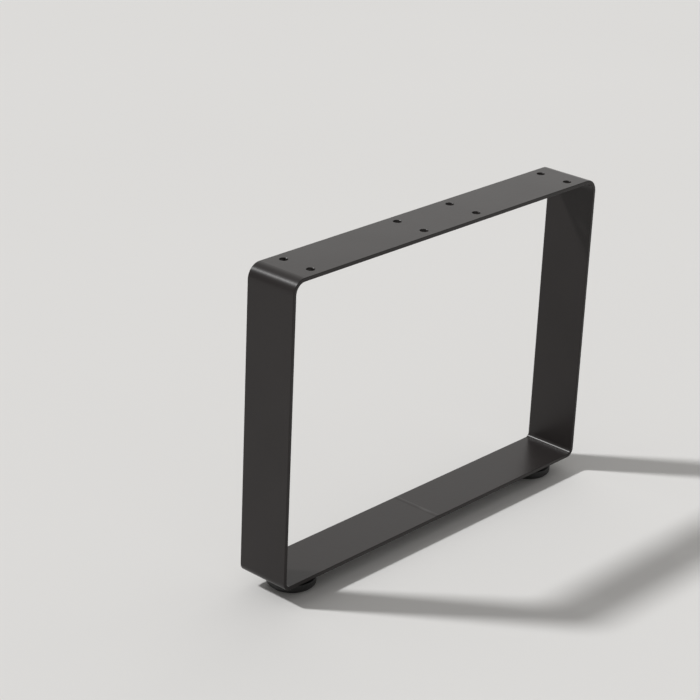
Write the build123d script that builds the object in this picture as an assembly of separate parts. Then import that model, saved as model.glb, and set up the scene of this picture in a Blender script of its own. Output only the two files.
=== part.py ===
# Low table leg: a flat steel bar bent into a closed rectangle, standing on two round screw-on feet.
# Millimetres. The origin is on the floor under the middle of the leg, +X runs along the leg,
# +Y across the bar's width and +Z up.

import os

from build123d import *

# The bar is plain flat stock. Its faces look outwards and inwards all round the rectangle.
bar_width = 60.0
bar_thickness = 4.0
bar_edge_rounding = 0.6

# Outside size of the bent rectangle, and the radii of the formers that it is bent around. The two
# upper bends are made on a larger former than the two lower ones.
frame_length = 460.0
frame_height = 324.0
upper_former_radius = 11.0
lower_former_radius = 5.0

# Screw holes through the top run, in pairs across the bar. One pair sits near each end. The two
# pairs between them stand a little to the right of the middle, as they do on the real leg.
screw_hole_diameter = 8.5
screw_hole_easing = 0.4
pair_spacing_across = 35.0
end_pair_inset = 35.0
middle_pair_spacing = 80.0
middle_pairs_offset = 6.0

# The bar's two ends meet in the middle of the bottom run. The butt weld is ground nearly flush
# on both faces and leaves a low crown under the coat.
weld_width = 6.0
weld_crown = 0.2
weld_end_gap = 0.3

# Round feet. Each is a moulded pad on a narrower neck that bears on the bar's underside.
foot_inset = 42.0
foot_height = 16.0
pad_diameter = 50.0
pad_rim_height = 9.5
pad_taper_height = 3.0
pad_taper = 3.0
pad_shoulder_rise = 1.5
neck_diameter = 24.0
neck_root_rounding = 2.0
pad_edge_rounding = 1.2
sole_edge_rounding = 0.8

# Threaded stud, welded by its flange under the bar. The foot is screwed onto it.
stud_diameter = 8.0
stud_length = 9.0
stud_point_chamfer = 1.0
stud_flange_diameter = 11.0
stud_flange_thickness = 1.0
stud_clearance = 0.1
flange_clearance = 0.4
socket_end_clearance = 1.0

# Heights and places that follow from the sizes above.
bar_underside = foot_height
frame_top = bar_underside + frame_height
frame_middle = bar_underside + frame_height / 2
foot_offset = frame_length / 2 - foot_inset
end_pair_offset = frame_length / 2 - end_pair_inset
pair_places = (
    -end_pair_offset,
    middle_pairs_offset - middle_pair_spacing / 2,
    middle_pairs_offset + middle_pair_spacing / 2,
    end_pair_offset,
)


def circles_at(part, radius, height):
    """Round edges of the part that have this radius and lie at this height."""
    return [
        edge
        for edge in part.edges().filter_by(GeomType.CIRCLE)
        if abs(edge.radius - radius) < 1e-3 and abs(edge.center().Z - height) < 1e-3
    ]


def bar_outline(distance):
    """The rectangle that lies this far outside the face of the bar that touches the formers."""
    inset = 2 * (bar_thickness - distance)
    with BuildSketch() as outline:
        Rectangle(frame_length - inset, frame_height - inset)
        fillet(outline.vertices().group_by(Axis.Y)[0], radius=lower_former_radius + distance)
        fillet(outline.vertices().group_by(Axis.Y)[-1], radius=upper_former_radius + distance)
    return outline.sketch


def bent_bar():
    """The bar bent round four corners, with its long edges rounded as they come from the mill."""
    with BuildPart() as bar:
        with BuildSketch(Plane.XZ):
            with Locations((0, frame_middle)):
                add(bar_outline(bar_thickness))
                add(bar_outline(0), mode=Mode.SUBTRACT)
        extrude(amount=bar_width / 2, both=True)
        sides = bar.faces().filter_by(Axis.Y)
        fillet(sides.edges(), radius=bar_edge_rounding)
    return bar.part


def screw_holes():
    """The drills for the eight screw holes, each with the rims that are eased on both faces."""
    drill_radius = screw_hole_diameter / 2
    with BuildPart() as drills:
        for x in pair_places:
            for y in (-pair_spacing_across / 2, pair_spacing_across / 2):
                with BuildSketch(Plane.XY.offset(frame_top)):
                    with Locations((x, y)):
                        Circle(drill_radius)
                extrude(amount=-bar_thickness)
                for height, side in ((frame_top, -1), (frame_top - bar_thickness, 1)):
                    with BuildSketch(Plane.XY.offset(height)):
                        with Locations((x, y)):
                            Circle(drill_radius + screw_hole_easing)
                    extrude(amount=side * screw_hole_easing, taper=45)
    return drills.part


def weld_crowns():
    """The low crown that grinding leaves on the upper and lower face of the closing weld."""
    length = bar_width - 2 * (bar_edge_rounding + weld_end_gap)
    with BuildPart() as crowns:
        for height, side in ((bar_underside + bar_thickness, 1), (bar_underside, -1)):
            left = (-weld_width / 2, height)
            right = (weld_width / 2, height)
            with BuildSketch(Plane.XZ):
                with BuildLine():
                    ThreePointArc(left, (0, height + side * weld_crown), right)
                    Line(right, left)
                make_face()
            extrude(amount=length / 2, both=True)
    return crowns.part


def frame():
    """The finished bar: bent, welded shut and drilled."""
    return bent_bar() + weld_crowns() - screw_holes()


def foot_stud():
    """A threaded stud hanging from the bar's underside, drawn at its outside diameter."""
    with BuildPart() as stud:
        with BuildSketch(Plane.XY.offset(bar_underside)):
            Circle(stud_flange_diameter / 2)
        extrude(amount=-stud_flange_thickness)
        with BuildSketch(Plane.XY.offset(bar_underside)):
            Circle(stud_diameter / 2)
        extrude(amount=-stud_length)
        point = circles_at(stud.part, stud_diameter / 2, bar_underside - stud_length)
        chamfer(point, length=stud_point_chamfer)
    return stud.part


def foot():
    """The moulded foot, turned about its own axis, with the socket for the stud."""
    pad_radius = pad_diameter / 2
    neck_radius = neck_diameter / 2
    sole_radius = pad_radius - pad_taper
    shoulder_height = pad_rim_height + pad_shoulder_rise
    socket_depth = stud_length + socket_end_clearance
    with BuildPart() as body:
        with BuildSketch(Plane.XZ):
            with BuildLine():
                Polyline(
                    (0, 0),
                    (sole_radius, 0),
                    (pad_radius, pad_taper_height),
                    (pad_radius, pad_rim_height),
                    (neck_radius, shoulder_height),
                    (neck_radius, foot_height),
                    (0, foot_height),
                    close=True,
                )
            make_face()
        revolve(axis=Axis.Z)
        fillet(circles_at(body.part, sole_radius, 0), radius=sole_edge_rounding)
        fillet(circles_at(body.part, pad_radius, pad_taper_height), radius=pad_edge_rounding)
        fillet(circles_at(body.part, pad_radius, pad_rim_height), radius=pad_edge_rounding)
        fillet(circles_at(body.part, neck_radius, shoulder_height), radius=neck_root_rounding)
        with BuildSketch(Plane.XY.offset(foot_height)):
            Circle(stud_diameter / 2 + stud_clearance)
        extrude(amount=-socket_depth, mode=Mode.SUBTRACT)
        with BuildSketch(Plane.XY.offset(foot_height)):
            Circle(stud_flange_diameter / 2 + flange_clearance)
        extrude(amount=-(stud_flange_thickness + flange_clearance), mode=Mode.SUBTRACT)
    return body.part


os.makedirs("parts", exist_ok=True)
export_step(frame(), "parts/frame.step")
for end, x in (("left", -foot_offset), ("right", foot_offset)):
    export_step(Pos(x, 0, 0) * foot_stud(), f"parts/stud_{end}.step")
    export_step(Pos(x, 0, 0) * foot(), f"parts/foot_{end}.step")
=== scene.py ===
import math

import bpy
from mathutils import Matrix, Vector

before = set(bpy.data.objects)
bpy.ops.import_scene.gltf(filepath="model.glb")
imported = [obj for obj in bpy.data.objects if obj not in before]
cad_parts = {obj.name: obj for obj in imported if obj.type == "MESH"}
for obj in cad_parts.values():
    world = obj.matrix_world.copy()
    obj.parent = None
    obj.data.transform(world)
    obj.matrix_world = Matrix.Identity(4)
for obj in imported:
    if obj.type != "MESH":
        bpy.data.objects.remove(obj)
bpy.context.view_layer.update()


# The bent bar: 60 x 4 mm flat steel, formed into a closed rectangle and butt-welded in the middle
# of the bottom run. It is sprayed with black powder and baked, which leaves an even satin skin
# with a faint orange peel. The ground weld shows through as a faint line with a glossier streak.
def new_material(name, base, roughness):
    """A principled surface: the material, its tree, its shader and the object-space coordinates."""
    material = bpy.data.materials.new(name)
    material.use_nodes = True
    tree = material.node_tree
    shader = tree.nodes["Principled BSDF"]
    shader.inputs["Base Color"].default_value = (*base, 1)
    shader.inputs["Roughness"].default_value = roughness
    coordinates = tree.nodes.new("ShaderNodeTexCoord")
    return material, tree, shader, coordinates.outputs["Object"]


def noise(tree, vector, scale, detail=2.0, roughness=0.5):
    """Fractal noise of that many features per metre."""
    node = tree.nodes.new("ShaderNodeTexNoise")
    node.inputs["Scale"].default_value = scale
    node.inputs["Detail"].default_value = detail
    node.inputs["Roughness"].default_value = roughness
    tree.links.new(vector, node.inputs["Vector"])
    return node.outputs["Fac"]


def spread(tree, value, from_low, from_high, to_low, to_high, smooth=False):
    """Carries a value from one range to another and holds it at the ends."""
    node = tree.nodes.new("ShaderNodeMapRange")
    node.interpolation_type = "SMOOTHSTEP" if smooth else "LINEAR"
    for socket, number in zip(node.inputs[1:5], (from_low, from_high, to_low, to_high)):
        socket.default_value = number
    tree.links.new(value, node.inputs["Value"])
    return node.outputs["Result"]


noise_low = 0.3
noise_high = 0.7


def grain(tree, value, to_low, to_high, smooth=False):
    """Carries the range that a noise mostly fills to another range."""
    return spread(tree, value, noise_low, noise_high, to_low, to_high, smooth)


def combine(tree, operation, first, second=0.0):
    """One maths step. Each side is a socket or a plain number."""
    node = tree.nodes.new("ShaderNodeMath")
    node.operation = operation
    for socket, value in zip(node.inputs, (first, second)):
        if isinstance(value, (int, float)):
            socket.default_value = value
        else:
            tree.links.new(value, socket)
    return node.outputs["Value"]


def blend_colours(tree, factor, first, second):
    """The colour between two others that a factor picks."""
    node = tree.nodes.new("ShaderNodeMix")
    node.data_type = "RGBA"
    node.inputs["A"].default_value = (*first, 1)
    node.inputs["B"].default_value = (*second, 1)
    tree.links.new(factor, node.inputs["Factor"])
    return node.outputs["Result"]


def split_axes(tree, vector):
    """The X, Y and Z of the coordinates as three sockets."""
    node = tree.nodes.new("ShaderNodeSeparateXYZ")
    tree.links.new(vector, node.inputs["Vector"])
    return node.outputs["X"], node.outputs["Y"], node.outputs["Z"]


def raise_surface(tree, shader, height, depth):
    """Bumps the shader's normal by a height socket. The depth is in metres."""
    node = tree.nodes.new("ShaderNodeBump")
    node.inputs["Strength"].default_value = 1.0
    node.inputs["Distance"].default_value = depth
    tree.links.new(height, node.inputs["Height"])
    tree.links.new(node.outputs["Normal"], shader.inputs["Normal"])


coat_dark = (0.0206, 0.0178, 0.0174)
coat_light = (0.0265, 0.0232, 0.0227)
coat_roughness = 0.30
coat_smoothest = 0.29
coat_roughest = 0.33
coat_gloss = 0.25
cloud_scale = 9.0
speck_scale = 900.0
speck_share = 0.3
peel_scale = 420.0
peel_detail_share = 0.4
ripple_scale = 160.0
ripple_share = 0.6
peel_depth = 0.00003

# The streak lies on the weld alone, and weld_top keeps it off the top run. It shines fully over
# the core, is brightest a little in front of the bar's centre line, and fades out on all sides.
weld_half_width = 0.0030
weld_core = 0.0009
weld_top = 0.021
weld_top_fade = 0.002
streak_middle = -0.012
streak_half_length = 0.012
streak_gloss = 0.16

coat, tree, shader, place = new_material("black_powder_coat", coat_dark, coat_roughness)
cloud = noise(tree, place, cloud_scale)
speck = noise(tree, place, speck_scale)
tone = combine(
    tree,
    "ADD",
    combine(tree, "MULTIPLY", cloud, 1.0 - speck_share),
    combine(tree, "MULTIPLY", speck, speck_share),
)
tree.links.new(
    blend_colours(tree, grain(tree, tone, 0.0, 1.0), coat_dark, coat_light),
    shader.inputs["Base Color"],
)
tree.links.new(
    grain(tree, cloud, coat_smoothest, coat_roughest, smooth=True), shader.inputs["Roughness"]
)

along, across, up = split_axes(tree, place)
from_weld = combine(tree, "ABSOLUTE", along)
from_streak = combine(tree, "ABSOLUTE", combine(tree, "SUBTRACT", across, streak_middle))
on_weld = combine(
    tree,
    "MULTIPLY",
    spread(tree, from_weld, weld_core, weld_half_width, 1.0, 0.0, smooth=True),
    spread(tree, up, weld_top, weld_top + weld_top_fade, 1.0, 0.0),
)
streak = combine(
    tree,
    "MULTIPLY",
    on_weld,
    spread(tree, from_streak, 0.0, streak_half_length, streak_gloss, 0.0, smooth=True),
)
tree.links.new(combine(tree, "ADD", streak, coat_gloss), shader.inputs["Specular IOR Level"])

peel = noise(tree, place, peel_scale, roughness=peel_detail_share)
ripple = noise(tree, place, ripple_scale, detail=1.0)
skin = combine(tree, "ADD", peel, combine(tree, "MULTIPLY", ripple, ripple_share))
raise_surface(tree, shader, skin, peel_depth)

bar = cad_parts["frame"]
bar.data.materials.clear()
bar.data.materials.append(coat)


# The two feet: one moulding each in black polypropylene, a round pad with a tapered sole edge on
# a short neck that is screwed up against the bar. The surface is finely spark-eroded and matte.
plastic_dark = (0.012, 0.012, 0.012)
plastic_light = (0.018, 0.018, 0.0175)
plastic_roughness = 0.46
plastic_smoothest = 0.43
plastic_roughest = 0.51
mottle_scale = 60.0
erosion_scale = 1500.0
erosion_depth = 0.00002

plastic, tree, shader, place = new_material("black_moulded_plastic", plastic_dark, plastic_roughness)
mottle = noise(tree, place, mottle_scale)
tree.links.new(
    blend_colours(tree, grain(tree, mottle, 0.0, 1.0), plastic_dark, plastic_light),
    shader.inputs["Base Color"],
)
tree.links.new(grain(tree, mottle, plastic_smoothest, plastic_roughest), shader.inputs["Roughness"])
raise_surface(tree, shader, noise(tree, place, erosion_scale), erosion_depth)

for name in ("foot_left", "foot_right"):
    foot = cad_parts[name]
    foot.data.materials.clear()
    foot.data.materials.append(plastic)


# The two studs: zinc-plated steel with an M8 thread, welded under the bar and hidden in the feet.
# The thread is a ripple of 1.25 mm pitch on the plain shank.
zinc_dull = (0.42, 0.42, 0.43)
zinc_bright = (0.62, 0.62, 0.64)
zinc_roughness = 0.32
zinc_smoothest = 0.27
zinc_roughest = 0.38
spangle_scale = 300.0
thread_pitch = 0.00125
thread_depth = 0.0003

zinc, tree, shader, place = new_material("zinc_plate", zinc_dull, zinc_roughness)
shader.inputs["Metallic"].default_value = 1.0
spangle = noise(tree, place, spangle_scale, detail=3.0)
tree.links.new(
    blend_colours(tree, grain(tree, spangle, 0.0, 1.0), zinc_dull, zinc_bright),
    shader.inputs["Base Color"],
)
tree.links.new(grain(tree, spangle, zinc_smoothest, zinc_roughest), shader.inputs["Roughness"])
up = split_axes(tree, place)[2]
turns = combine(tree, "MULTIPLY", up, 2 * math.pi / thread_pitch)
raise_surface(tree, shader, combine(tree, "SINE", turns), thread_depth)

for name in ("stud_left", "stud_right"):
    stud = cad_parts[name]
    stud.data.materials.clear()
    stud.data.materials.append(zinc)


# The floor: a plain sweep of pale matte paper that reaches far beyond the leg on every side. It
# only carries the shadow and is no part of the leg.
floor_size = 16.0
paper_pale = (0.76, 0.755, 0.745)
paper_paler = (0.78, 0.775, 0.765)
paper_roughness = 0.85
paper_gloss = 0.0
paper_cloud_scale = 1.5

bpy.ops.mesh.primitive_plane_add(size=floor_size, location=(0, 0, 0))
floor = bpy.context.object
floor.name = "floor"
paper, tree, shader, place = new_material("pale_paper", paper_pale, paper_roughness)
shader.inputs["Specular IOR Level"].default_value = paper_gloss
tree.links.new(
    blend_colours(tree, noise(tree, place, paper_cloud_scale), paper_pale, paper_paler),
    shader.inputs["Base Color"],
)
floor.data.materials.append(paper)


# The light: a soft lamp far off, high behind the left end, and a pale surround that fills the
# shadows. The surround is brightest behind the leg, on the right, where the upper faces mirror it.
# The camera sees it in one plain tone, the same as the lit floor's.
surround_colour = (1.0, 0.985, 0.965)
surround_front = 0.29
surround_back = 0.96
surround_seen = 0.717
back_direction = (0.747, 0.665, 0.0)
back_begins = 0.1
back_full = 0.95
lamp_direction = (0.565, -0.695, -1.0)
lamp_spread = 5.2
lamp_strength = 2.17

world = bpy.data.worlds.new("studio")
world.use_nodes = True
tree = world.node_tree
surround = tree.nodes["Background"]
surround.inputs["Color"].default_value = (*surround_colour, 1)
direction = tree.nodes.new("ShaderNodeTexCoord")
facing = tree.nodes.new("ShaderNodeVectorMath")
facing.operation = "DOT_PRODUCT"
facing.inputs[1].default_value = back_direction
tree.links.new(direction.outputs["Generated"], facing.inputs[0])
glow = spread(
    tree, facing.outputs["Value"], back_begins, back_full, surround_front, surround_back, smooth=True
)
seen = tree.nodes.new("ShaderNodeLightPath").outputs["Is Camera Ray"]
tree.links.new(
    combine(
        tree,
        "ADD",
        combine(tree, "MULTIPLY", seen, surround_seen),
        combine(tree, "MULTIPLY", combine(tree, "SUBTRACT", 1.0, seen), glow),
    ),
    surround.inputs["Strength"],
)
bpy.context.scene.world = world

lamp_data = bpy.data.lights.new("soft_lamp", "SUN")
lamp_data.angle = math.radians(lamp_spread)
lamp_data.energy = lamp_strength
lamp = bpy.data.objects.new("soft_lamp", lamp_data)
lamp.rotation_euler = Vector(lamp_direction).to_track_quat("-Z", "Y").to_euler()
bpy.context.scene.collection.objects.link(lamp)


# The camera: a long lens looking down across the leg from its left end, tipped a little sideways
# as in the photograph. The turns are in degrees, the lens and its film width in millimetres.
camera_place = (-1.6255, -1.34509, 1.07965)
camera_turn = (67.202, -2.3415, -47.3243)
camera_lens = 115.45
camera_film_width = 36.0

camera_data = bpy.data.cameras.new("camera")
camera_data.sensor_width = camera_film_width
camera_data.lens = camera_lens
camera = bpy.data.objects.new("camera", camera_data)
camera.location = camera_place
camera.rotation_euler = [math.radians(angle) for angle in camera_turn]
bpy.context.scene.collection.objects.link(camera)
bpy.context.scene.camera = camera
bpy.context.scene.view_settings.view_transform = "Standard"
